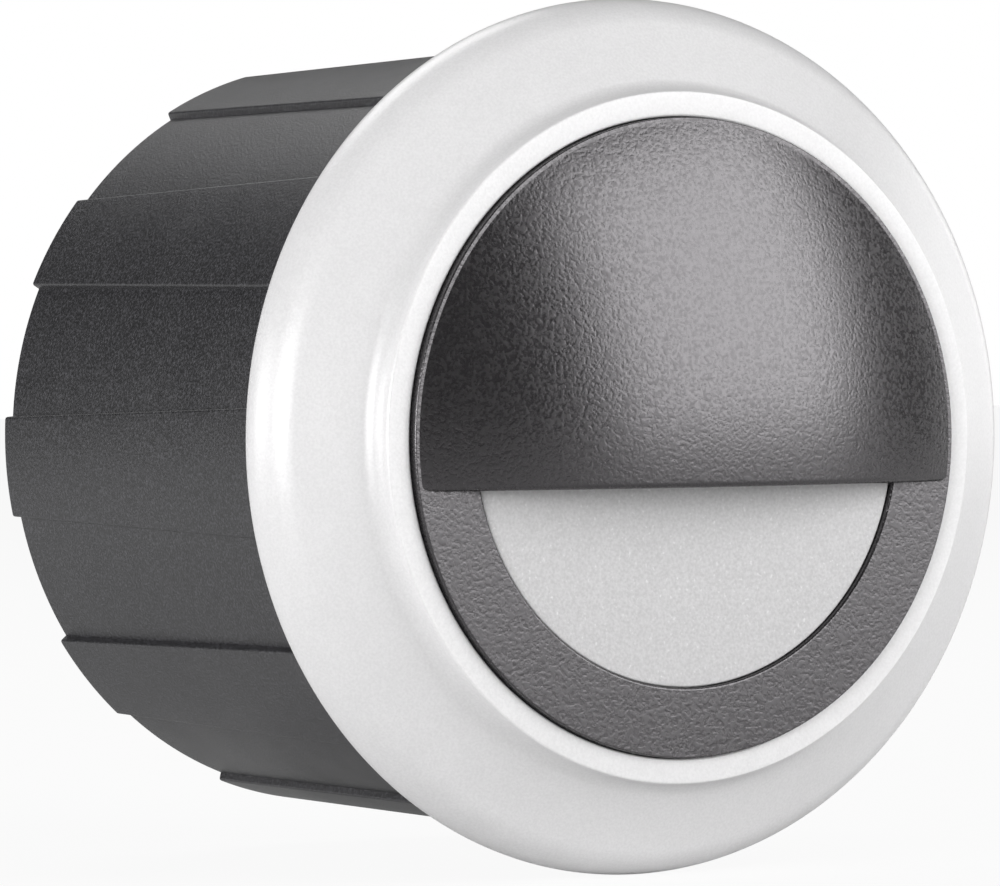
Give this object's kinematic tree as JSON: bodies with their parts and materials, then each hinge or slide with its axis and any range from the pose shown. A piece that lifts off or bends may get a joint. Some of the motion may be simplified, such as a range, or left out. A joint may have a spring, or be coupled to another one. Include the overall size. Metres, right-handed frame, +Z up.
{
  "type": "recessed eyelid light",
  "caption": "Small round recessed outdoor light with a black eyelid bezel over a frosted lens, a frosted ring that closes on the wall, and a ribbed sleeve that stays in the drilled hole.",
  "frame": {"origin": "on the light's axis in the plane of the wall face, where the sleeve's front band starts", "axes": "+Y runs along the light's axis into the wall, the front looks along -Y, +Z is up and the eyelid shades the upper side, +X is to the viewer's right"},
  "size_m": [0.066, 0.0583, 0.066],
  "materials": {
    "sleeve_plastic": "black moulded plastic with a fine matt texture",
    "frosted_plastic": "frosted white plastic with a fine sparkle",
    "black_powder_coat": "black powder coat with a fine grain over cast aluminium",
    "frosted_lens": "frosted diffusing lens",
    "seal_rubber": "black silicone rubber",
    "cast_aluminium": "bare die-cast aluminium, fine blasted",
    "screw_steel": "stainless steel, plain",
    "reflector_white": "white moulded plastic",
    "source_board": "white lacquered metal-core board",
    "chip_phosphor": "yellow phosphor in a white package",
    "pad_grey": "soft thermal pad",
    "wire_red": "silicone wire insulation",
    "board_green": "green lacquered circuit board",
    "capacitor_sleeve": "shrunk sleeve over an aluminium can",
    "ferrite_grey": "ferrite core with its winding",
    "chip_black": "black moulded epoxy",
    "terminal_green": "green moulded plastic",
    "gland_nylon": "black nylon"
  },
  "bodies": {
    "sleeve": {"mounting_sleeve": "sleeve_plastic"},
    "ring": {"frosted_ring": "frosted_plastic", "flange_gasket": "seal_rubber"},
    "light": {"eyelid_bezel": "black_powder_coat", "bezel_seal": "seal_rubber", "front_lens": "frosted_lens", "lens_gasket": "seal_rubber", "reflector": "reflector_white", "light_body": "cast_aluminium", "bezel_screws": "screw_steel", "thermal_pad": "pad_grey", "led_board": "source_board", "led_chips": "chip_phosphor", "led_board_screws": "screw_steel", "led_wires": "wire_red", "front_oring": "seal_rubber", "rear_oring": "seal_rubber", "driver_board": "board_green", "driver_screws": "screw_steel", "capacitor": "capacitor_sleeve", "inductor": "ferrite_grey", "bridge_rectifier": "chip_black", "driver_chip": "chip_black", "terminal_block": "terminal_green", "cover_oring": "seal_rubber", "rear_cover": "cast_aluminium", "cover_screws": "screw_steel", "gland_washer": "seal_rubber", "gland_body": "gland_nylon", "gland_locknut": "gland_nylon", "gland_seal": "seal_rubber", "gland_nut": "gland_nylon"}
  },
  "joints": [
    {"name": "pull_out", "type": "slide", "parent": "sleeve", "child": "ring", "axis": [0, -1, 0], "range_m": [0, 0.06]},
    {"name": "turn_eyelid", "type": "hinge", "parent": "ring", "child": "light", "pos_m": [0, 0, 0], "axis": [0, -1, 0], "range_deg": [-180, 180]}
  ]
}
